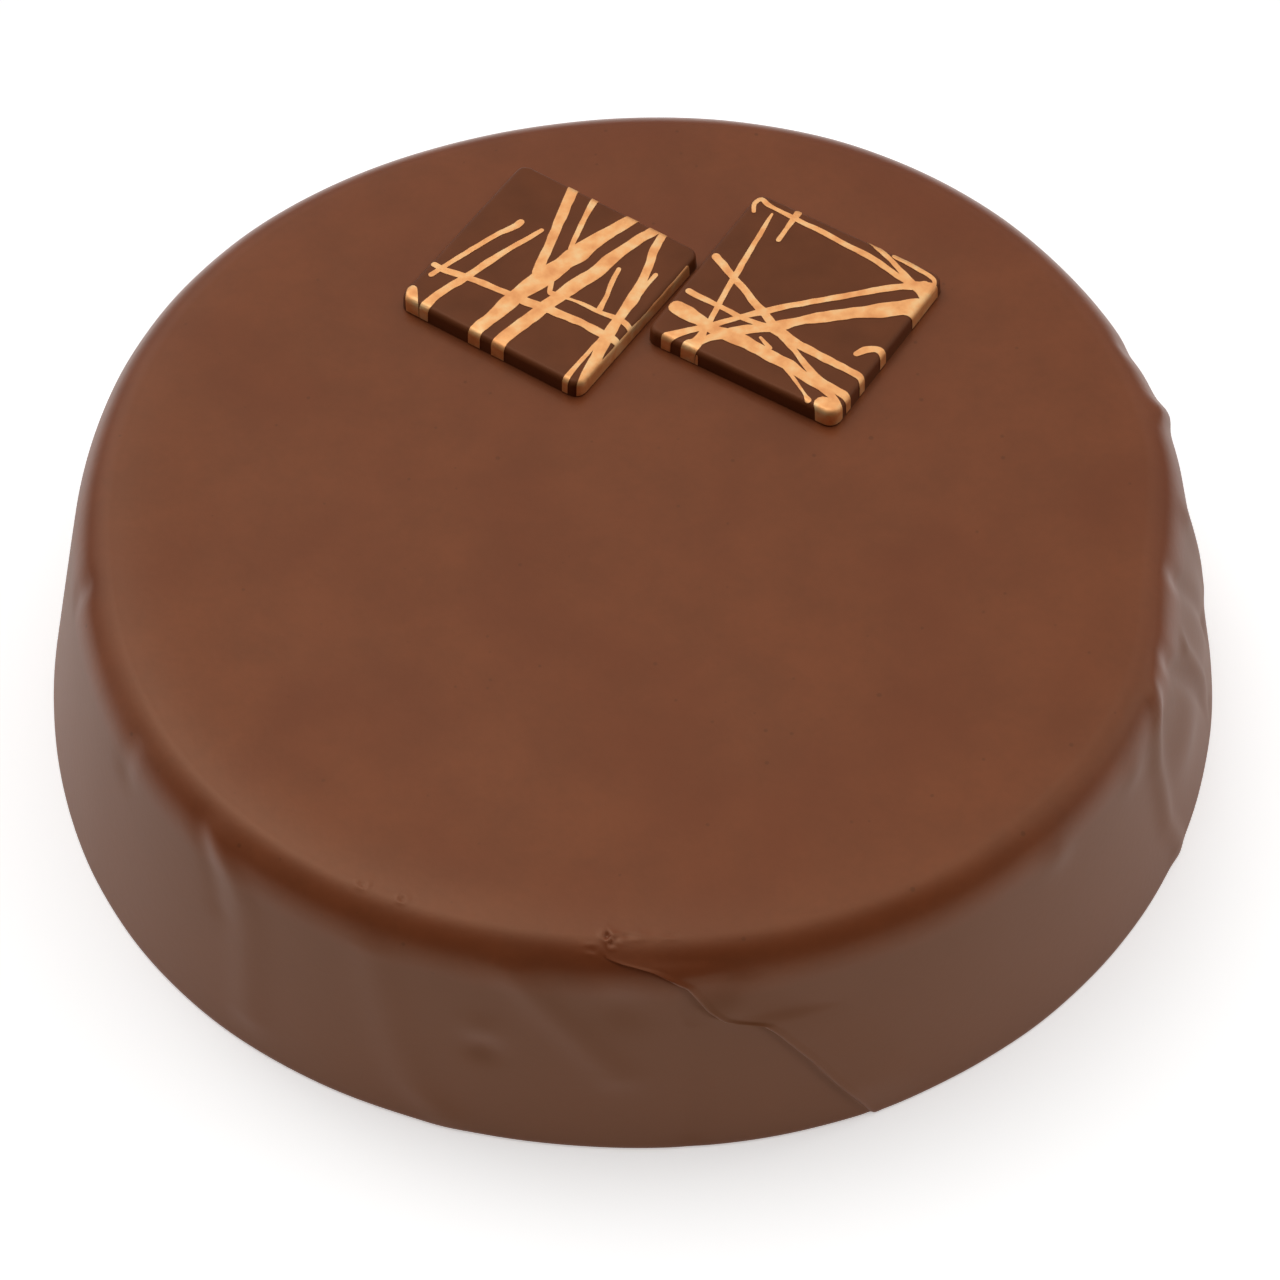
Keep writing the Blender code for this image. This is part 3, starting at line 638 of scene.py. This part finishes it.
# Each stroke is a path of (along, across, width) on its own square.
STROKES = {
    "left": (
        ((-7.2, OVER, 1.8), (-6.7, 16.1, 1.8), (-5.0, 10.3, 1.7), (-3.05, 3.9, 1.5),
         (-1.7, -1.1, 1.6)),
        ((-3.0, OVER, 1.2), (-2.65, 16.1, 1.2), (-1.95, 12.5, 0.9), (-0.85, 8.3, 0.9),
         (-0.15, 5.8, 0.7)),
        ((4.9, OVER, 2.1), (4.3, 16.1, 2.1), (3.2, 12.5, 2.2), (1.95, 8.3, 2.8), (1.4, 5.5, 3.5),
         (0.7, 2.8, 2.9), (0.0, -0.55, 3.5), (-0.85, -3.6, 3.2), (-1.5, -6.7, 2.6),
         (-1.8, -9.2, 2.8), (-2.2, -12.5, 2.2), (-2.65, -15.8, 2.2), (-2.3, -OVER, 2.0)),
        ((9.1, OVER, 1.9), (8.5, 16.1, 1.9), (7.35, 12.5, 1.7), (6.25, 7.5, 2.2), (5.85, 3.9, 2.4),
         (4.85, 0.55, 2.5), (3.9, -3.6, 2.2), (3.2, -6.7, 2.2), (2.8, -9.2, 2.2),
         (1.95, -13.3, 2.2), (1.65, -15.8, 2.3), (1.95, -OVER, 2.2)),
        ((9.5, OVER, 1.2), (10.1, 15.8, 1.25), (10.8, 12.5, 1.4), (11.9, 9.4, 1.4),
         (12.8, 6.1, 1.4), (13.5, 2.8, 2.1), (13.9, -1.1, 1.5), (14.45, -5.0, 1.9),
         (15.3, -9.2, 1.8), (16.1, -12.2, 2.2), (16.8, -15.6, 1.9), (17.1, -17.6, 1.7)),
        ((13.75, 8.6, 0.8), (13.75, 6.1, 0.7), (14.0, 3.3, 0.8)),
        ((8.4, 6.4, 0.7), (9.15, 3.3, 0.8), (10.0, 0.55, 0.7), (10.55, -1.95, 1.0)),
        ((1.0, -0.8, 0.8), (2.2, -3.3, 0.8), (3.05, -3.3, 0.9), (5.85, -2.8, 0.5),
         (7.8, -2.55, 0.7), (10.3, -2.5, 0.8), (12.8, -2.2, 0.9), (15.0, -2.1, 1.1),
         (17.2, -2.7, 1.0)),
        ((-15.7, -8.6, 0.9), (-13.3, -8.6, 1.2), (-10.55, -8.05, 1.2), (-6.7, -7.5, 1.1),
         (-3.05, -7.2, 1.1), (0.55, -6.95, 1.5), (3.3, -6.4, 1.5), (6.7, -6.1, 1.5),
         (10.0, -5.8, 1.4), (13.3, -5.8, 1.5), (16.95, -5.95, 1.2), (OVER, -6.1, 1.2)),
        ((-9.6, 6.0, 1.1), (-9.85, 4.7, 1.2), (-11.1, 1.95, 0.9), (-12.2, -1.4, 0.9),
         (-13.2, -4.7, 0.9), (-14.05, -7.8, 0.8), (-14.85, -10.55, 0.9)),
        ((-5.95, 6.4, 0.7), (-6.65, 4.15, 0.9), (-7.8, 0.8, 0.9), (-8.9, -3.05, 1.2),
         (-9.7, -6.4, 1.2), (-10.55, -9.4, 1.4), (-11.4, -12.2, 1.3), (-11.95, -15.8, 1.6),
         (-11.8, -OVER, 1.6)),
        ((-15.6, -14.6, 1.6), (-14.5, -16.2, 1.9), (-13.4, -17.4, 1.7)),
        ((14.0, -5.8, 0.7), (14.0, -12.8, 0.7), (14.1, -16.1, 1.0), (14.6, -OVER, 0.6)),
        ((RIM, 13.0, 0.9), (RIM, 4.0, 0.7), (RIM, -6.0, 0.9), (RIM, -16.0, 0.9)),
    ),
    "right": (
        ((-15.05, 12.5, 0.6), (-15.8, 14.0, 0.8), (-15.3, 15.3, 0.9), (-13.9, 14.85, 0.9),
         (-11.95, 14.7, 0.7), (-9.45, 14.6, 0.9), (-6.7, 14.45, 0.9), (-4.15, 14.45, 1.0),
         (0.55, 14.05, 1.0), (5.55, 13.75, 1.1), (10.3, 12.8, 1.0), (12.8, 12.35, 1.1),
         (14.7, 11.95, 1.3), (16.4, 10.8, 1.2)),
        ((-9.05, 15.85, 1.1), (-8.9, 11.95, 0.8), (-8.75, 9.45, 0.8)),
        ((-12.35, 13.5, 0.4), (-12.1, 11.4, 0.7), (-11.65, 7.8, 0.8), (-11.15, 3.9, 0.9),
         (-10.7, 0.55, 1.0), (-10.3, -3.05, 0.9), (-9.7, -6.7, 0.9), (-9.15, -10.0, 0.9),
         (-8.9, -12.2, 1.2), (-8.6, -14.7, 2.0), (-9.05, -16.4, 2.6), (-9.7, -OVER, 1.4)),
        ((-7.5, -17.0, 0.7), (-6.9, -OVER, 0.6)),
        ((-15.15, 1.4, 1.4), (-13.3, 0.55, 1.3), (-10.85, -0.7, 1.2), (-8.05, -1.95, 1.2),
         (-5.3, -3.5, 1.3), (-3.05, -4.45, 1.4), (-0.55, -5.8, 1.4), (2.2, -7.35, 1.0),
         (5.0, -8.6, 0.9), (7.8, -10.15, 1.1), (10.55, -11.4, 1.3), (13.3, -11.95, 1.4),
         (15.85, -12.2, 1.5), (17.2, -12.8, 1.0)),
        ((15.0, 13.3, 1.6), (13.3, 11.95, 1.4), (11.4, 10.55, 1.3), (8.3, 7.5, 1.2),
         (5.0, 4.15, 1.1), (1.65, 0.8, 1.1), (-0.85, -1.65, 1.1), (-3.05, -4.2, 1.3),
         (-5.0, -6.4, 1.0), (-6.95, -8.9, 1.0), (-8.9, -11.4, 1.1), (-10.85, -13.6, 1.2),
         (-13.05, -16.4, 1.8)),
        ((OVER, 9.3, 4.2), (16.25, 8.6, 3.9), (14.4, 7.5, 2.9), (11.9, 5.3, 2.9),
         (9.45, 3.3, 2.2), (6.65, 0.85, 2.2), (4.45, -1.1, 2.0), (2.2, -3.35, 1.6),
         (0.3, -5.55, 2.2), (-1.95, -7.5, 1.6), (-4.15, -9.45, 2.0), (-6.1, -11.7, 1.8),
         (-7.5, -13.3, 1.2), (-8.3, -15.0, 1.2)),
        ((-15.0, -6.8, 1.1), (-12.5, -6.9, 1.1), (-8.9, -6.95, 0.9), (-5.55, -7.1, 0.9),
         (-2.2, -6.8, 1.0), (0.55, -6.5, 1.8), (3.9, -7.1, 1.6), (7.2, -7.35, 1.5),
         (10.55, -7.5, 1.4), (13.9, -7.65, 1.3), (16.1, -7.9, 1.2), (17.2, -8.9, 0.9),
         (17.65, -9.7, 0.7)),
        ((-14.85, -10.55, 2.6), (-12.8, -10.7, 2.8), (-10.55, -10.95, 2.2), (-7.5, -11.4, 2.0),
         (-4.45, -11.1, 2.6), (-1.1, -11.1, 2.2), (2.2, -11.4, 2.2), (5.55, -11.5, 2.1),
         (8.9, -12.2, 1.8), (11.7, -12.6, 1.6), (13.9, -13.2, 1.2), (15.85, -14.2, 1.0),
         (17.1, -15.0, 0.8)),
        ((-0.85, -9.05, 0.5), (1.4, -10.1, 0.8)),
        ((5.0, -12.1, 0.6), (6.95, -13.05, 0.6), (9.15, -14.3, 0.5), (10.55, -15.15, 0.5),
         (11.65, -15.85, 1.0)),
        ((3.05, 16.7, 0.4), (5.0, 16.1, 0.9), (6.65, 15.55, 0.9), (8.9, 14.6, 0.8),
         (11.1, 13.6, 1.0), (13.05, 12.8, 1.0)),
        ((8.2, 16.0, 0.9), (10.55, 15.85, 0.9), (12.8, 15.55, 0.8), (14.7, 15.3, 0.8),
         (15.85, 14.85, 0.7), (16.4, 13.6, 0.5)),
        ((13.6, 12.6, 1.2), (16.2, 12.8, 3.2), (OVER, 12.6, 3.6)),
        ((13.2, -4.15, 1.0), (13.9, -2.8, 1.3), (15.3, -1.8, 1.3), (16.65, -1.95, 1.3),
         (17.35, -2.8, 1.0)),
        ((14.0, -15.4, 3.0), (15.6, -16.2, 3.6), (16.6, -17.2, 4.2)),
    ),
}


def smooth_path(path):
    """The stroke's named points with others between them, on one smooth curve."""
    points = [Vector(point) for point in path]
    points = [2 * points[0] - points[1], *points, 2 * points[-1] - points[-2]]
    curve = []
    for before, start, end, after in zip(points, points[1:], points[2:], points[3:]):
        for step in range(STROKE_STEPS):
            share = step / STROKE_STEPS
            bend = (
                (end - before) * share
                + (2 * before - 5 * start + 4 * end - after) * share ** 2
                + (3 * start - before - 3 * end + after) * share ** 3
            )
            curve.append(start + bend / 2)
    curve.append(points[-2])
    return curve


def round_end(start, end):
    """The points of a half circle from start to end, turning clockwise, without those two."""
    middle = (start + end) / 2
    points = []
    for side in range(1, STROKE_END_SIDES):
        spoke = start - middle
        spoke.rotate(Matrix.Rotation(-math.pi * side / STROKE_END_SIDES, 2))
        points.append(middle + spoke)
    return points


def stroke_outline(path):
    """The closed outline of a stroke with round ends and a slightly straying border."""
    curve = smooth_path(path)
    left, right = [], []
    for index, (x, y, width) in enumerate(curve):
        before = curve[max(index - 1, 0)]
        after = curve[min(index + 1, len(curve) - 1)]
        ahead = Vector((after[0] - before[0], after[1] - before[1])).normalized()
        aside = Vector((-ahead.y, ahead.x))
        for border, sign, level in zip((left, right), (1, -1), STROKE_WANDER_LEVELS):
            place = Vector((x / STROKE_WANDER_LENGTH, y / STROKE_WANDER_LENGTH, level))
            wander = STROKE_WANDER * noise.noise(place) * min(width, STROKE_WANDER_WIDEST)
            border.append(Vector((x, y)) + aside * sign * (width / 2 + wander))
    return [*left, *round_end(left[-1], right[-1]), *reversed(right), *round_end(right[0], left[0])]


def stroke_prism(path, number, material):
    """The stroke as an upright prism, to be cut to the swollen square."""
    bm = bmesh.new()
    step = STROKE_STAGGER * number
    low = (SQUARE_FOOT + STROKE_FOOT + step) * MM
    high = (SQUARE_FACE + STROKE_ABOVE + step) * MM
    outline = [bm.verts.new((point.x * MM, point.y * MM, low)) for point in stroke_outline(path)]
    base = bm.faces.new(outline)
    grown = bmesh.ops.extrude_face_region(bm, geom=[base], use_keep_orig=True)
    lifted = [item for item in grown["geom"] if isinstance(item, bmesh.types.BMVert)]
    bmesh.ops.translate(bm, verts=lifted, vec=(0, 0, high - low))
    bmesh.ops.recalc_face_normals(bm, faces=bm.faces)
    return object_from(bm, f"stroke_{number}", material)


def combine(obj, operation, other):
    """Joins or cuts an object with another object, or with every object of a collection."""
    step = obj.modifiers.new(operation.lower(), "BOOLEAN")
    step.operation = operation
    step.solver = "EXACT"
    if isinstance(other, bpy.types.Collection):
        step.operand_type = "COLLECTION"
        step.collection = other
    else:
        step.object = other
    graph = bpy.context.evaluated_depsgraph_get()
    old = obj.data
    obj.data = bpy.data.meshes.new_from_object(obj.evaluated_get(graph))
    obj.modifiers.clear()
    bpy.data.meshes.remove(old)


def copper_lustre():
    """Copper-gold lustre in cocoa butter: mica flakes under a thin waxy skin, so it shines softly
    from every side, a little brighter where it lies thick and browner where it is brushed thin."""
    material, tree, shader = new_material("copper_lustre")
    place = add(tree, "ShaderNodeTexCoord").outputs["Object"]
    # Thick and thin places of about 2.4 mm, as wide as the strokes
    thick = add(tree, "ShaderNodeTexNoise", {"Scale": 420.0, "Detail": 3.0}, {"Vector": place})
    colour = add(
        tree, "ShaderNodeValToRGB", {"stops": (
            (0.3, linear("#f0a262")), (0.5, linear("#ffb976")), (0.7, linear("#ffcf93")),
        )},
        {"Fac": thick.outputs["Fac"]},
    )
    tree.links.new(colour.outputs["Color"], shader.inputs["Base Color"])
    shader.inputs["Metallic"].default_value = 0.55
    shader.inputs["Roughness"].default_value = 0.45
    # Flakes of 0.4 mm, several times as coarse as real mica, so that they show
    flakes = add(tree, "ShaderNodeTexNoise", {"Scale": 2600.0, "Detail": 1.0}, {"Vector": place})
    glint = add(
        tree, "ShaderNodeBump", {"Strength": 0.3, "Distance": 0.00005},
        {"Height": flakes.outputs["Fac"]},
    )
    tree.links.new(glint.outputs["Normal"], shader.inputs["Normal"])
    return material


copper = copper_lustre()
for side in SQUARES:
    swollen = object_from(square_block(STROKE_SWELL), "swollen_square", copper)
    others = bpy.data.collections.new(f"strokes_{side}")
    first, *rest = STROKES[side]
    coat = stroke_prism(first, 0, copper)
    for number, path in enumerate(rest, start=1):
        prism = stroke_prism(path, number, copper)
        others.objects.link(prism)
        bpy.context.scene.collection.objects.unlink(prism)
    bpy.context.scene.collection.children.link(others)
    combine(coat, "UNION", others)
    combine(coat, "INTERSECT", swollen)
    for cutter in (swollen, *others.objects):
        bpy.data.objects.remove(cutter, do_unlink=True)
    bpy.data.collections.remove(others)
    bm = bmesh.new()
    bm.from_mesh(coat.data)
    bpy.data.objects.remove(coat, do_unlink=True)
    bmesh.ops.remove_doubles(bm, verts=bm.verts, dist=MERGE_DISTANCE * MM)
    put_on_cake(bm, side)
    strokes = object_from(bm, f"copper_strokes_{side}", copper)
    shade_smooth(strokes, sharp_angle=40)
    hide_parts(f"plaque_{side}")
    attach(strokes, "root")

# ---------------------------------------------------------------------------------------------
# The stage. A plain white floor with a painted glow, a pool of light brightest under the cake, under
# broad soft lights above, behind and at both sides, with the camera looking down from the front. Here
# in metres.
# ---------------------------------------------------------------------------------------------

# Each soft light: azimuth, elevation, tightness (a high one is small and sharp), strength
SOFT_LIGHTS = (
    (0, 90, 12, 0.65),
    (150, 60, 12, 1.08),
    (30, 60, 12, 1.16),
    (130, 30, 12, 1.12),
    (50, 30, 12, 0.56),
    (90, 30, 12, 0.34),
    (125, 58, 40, 0.80),
    (140, 75, 40, 0.77),
    (160, 38, 40, 0.41),
    (170, 18, 40, 0.46),
    (-160, 30, 40, 0.19),
    (0, 40, 40, 0.80),
    (20, 22, 40, 0.88),
    (0, 18, 40, 0.67),
    (-20, 18, 40, 0.20),
    (10, 6, 40, 0.43),
    (170, 6, 40, 0.35),
    (112, 60, 100, 0.45),
    (128, 50, 100, 0.32),
    (130, 64, 100, 0.66),
    (100, 70, 100, 0.35),
)
FLOOR_GLOW = 0.46  # painted light: the floor itself glows, most of all under the cake
GLOW_NEAR = 0.12  # full up to this distance from the middle
GLOW_FAR = 0.29  # and gone at this one
FLOOR_SIZE = 6.0
VIEW_ELEVATION = 52.09
CAMERA_DISTANCE = 0.9
LENS = 162.69  # this and the sensor in mm
SENSOR = 36.0
AIM = Vector((0.0012, 0.00505, 0.0))  # the point of the floor in the middle of the picture


def pale_card_painted_glow():
    """Matt white card: almost even, with a trace of warm and cool in it, and a painted glow, a pool
    of light brightest under the cake.
    """
    material, tree, shader = new_material("pale_card_painted_glow")
    place = add(tree, "ShaderNodeTexCoord").outputs["Object"]
    # The trace changes over about 30 cm
    tone = add(tree, "ShaderNodeTexNoise", {"Scale": 3.0, "Detail": 2.0}, {"Vector": place})
    colour = add(
        tree, "ShaderNodeValToRGB", {"stops": shades("#f8f7f6", 0.01)},
        {"Fac": tone.outputs["Fac"]},
    )
    tree.links.new(colour.outputs["Color"], shader.inputs["Base Color"])
    shader.inputs["Roughness"].default_value = 0.9
    shader.inputs["Specular IOR Level"].default_value = 0.1
    # Painted light: the card glows, fully up to GLOW_NEAR from the middle and fading out by GLOW_FAR
    shader.inputs["Emission Color"].default_value = (1.0, 1.0, 1.0, 1.0)
    away = add(tree, "ShaderNodeVectorMath", {"operation": "LENGTH"}, {0: place})
    painted_glow_pool = add(
        tree, "ShaderNodeMapRange",
        {"interpolation_type": "SMOOTHSTEP", "From Min": GLOW_NEAR, "From Max": GLOW_FAR,
         "To Min": FLOOR_GLOW, "To Max": 0.0},
        {"Value": away.outputs["Value"]},
    )
    tree.links.new(painted_glow_pool.outputs["Result"], shader.inputs["Emission Strength"])
    return material


bm = bmesh.new()
bmesh.ops.create_grid(bm, x_segments=1, y_segments=1, size=FLOOR_SIZE / 2)
floor = object_from(bm, "floor", pale_card_painted_glow())


def toward(azimuth, elevation):
    level = math.cos(math.radians(elevation))
    return Vector(
        (
            level * math.cos(math.radians(azimuth)),
            level * math.sin(math.radians(azimuth)),
            math.sin(math.radians(elevation)),
        )
    )


world = bpy.data.worlds.new("studio")
bpy.context.scene.world = world
world.use_nodes = True
sky = world.node_tree
direction = add(sky, "ShaderNodeTexCoord").outputs["Generated"]
glow = None
for azimuth, elevation, tightness, strength in SOFT_LIGHTS:
    near = add(
        sky, "ShaderNodeVectorMath", {"operation": "DOT_PRODUCT", 1: toward(azimuth, elevation)},
        {0: direction},
    )
    fall = add(
        sky, "ShaderNodeMath", {"operation": "MULTIPLY_ADD", 1: tightness, 2: -tightness},
        {0: near.outputs["Value"]},
    )
    lobe = add(sky, "ShaderNodeMath", {"operation": "EXPONENT"}, {0: fall.outputs[0]})
    links = {0: lobe.outputs[0]}
    if glow:
        links[2] = glow.outputs[0]
    glow = add(sky, "ShaderNodeMath", {"operation": "MULTIPLY_ADD", 1: strength, 2: 0.0}, links)
sky.links.new(glow.outputs[0], sky.nodes["Background"].inputs["Color"])

camera_data = bpy.data.cameras.new("camera")
camera_data.lens = LENS
camera_data.sensor_width = SENSOR
camera = bpy.data.objects.new("camera", camera_data)
spot = toward(-90, VIEW_ELEVATION)
camera.location = AIM + spot * CAMERA_DISTANCE
camera.rotation_euler = spot.to_track_quat("Z", "Y").to_euler()
bpy.context.scene.collection.objects.link(camera)
bpy.context.scene.camera = camera
bpy.context.scene.view_settings.view_transform = "Standard"
bpy.context.scene.view_settings.look = "None"
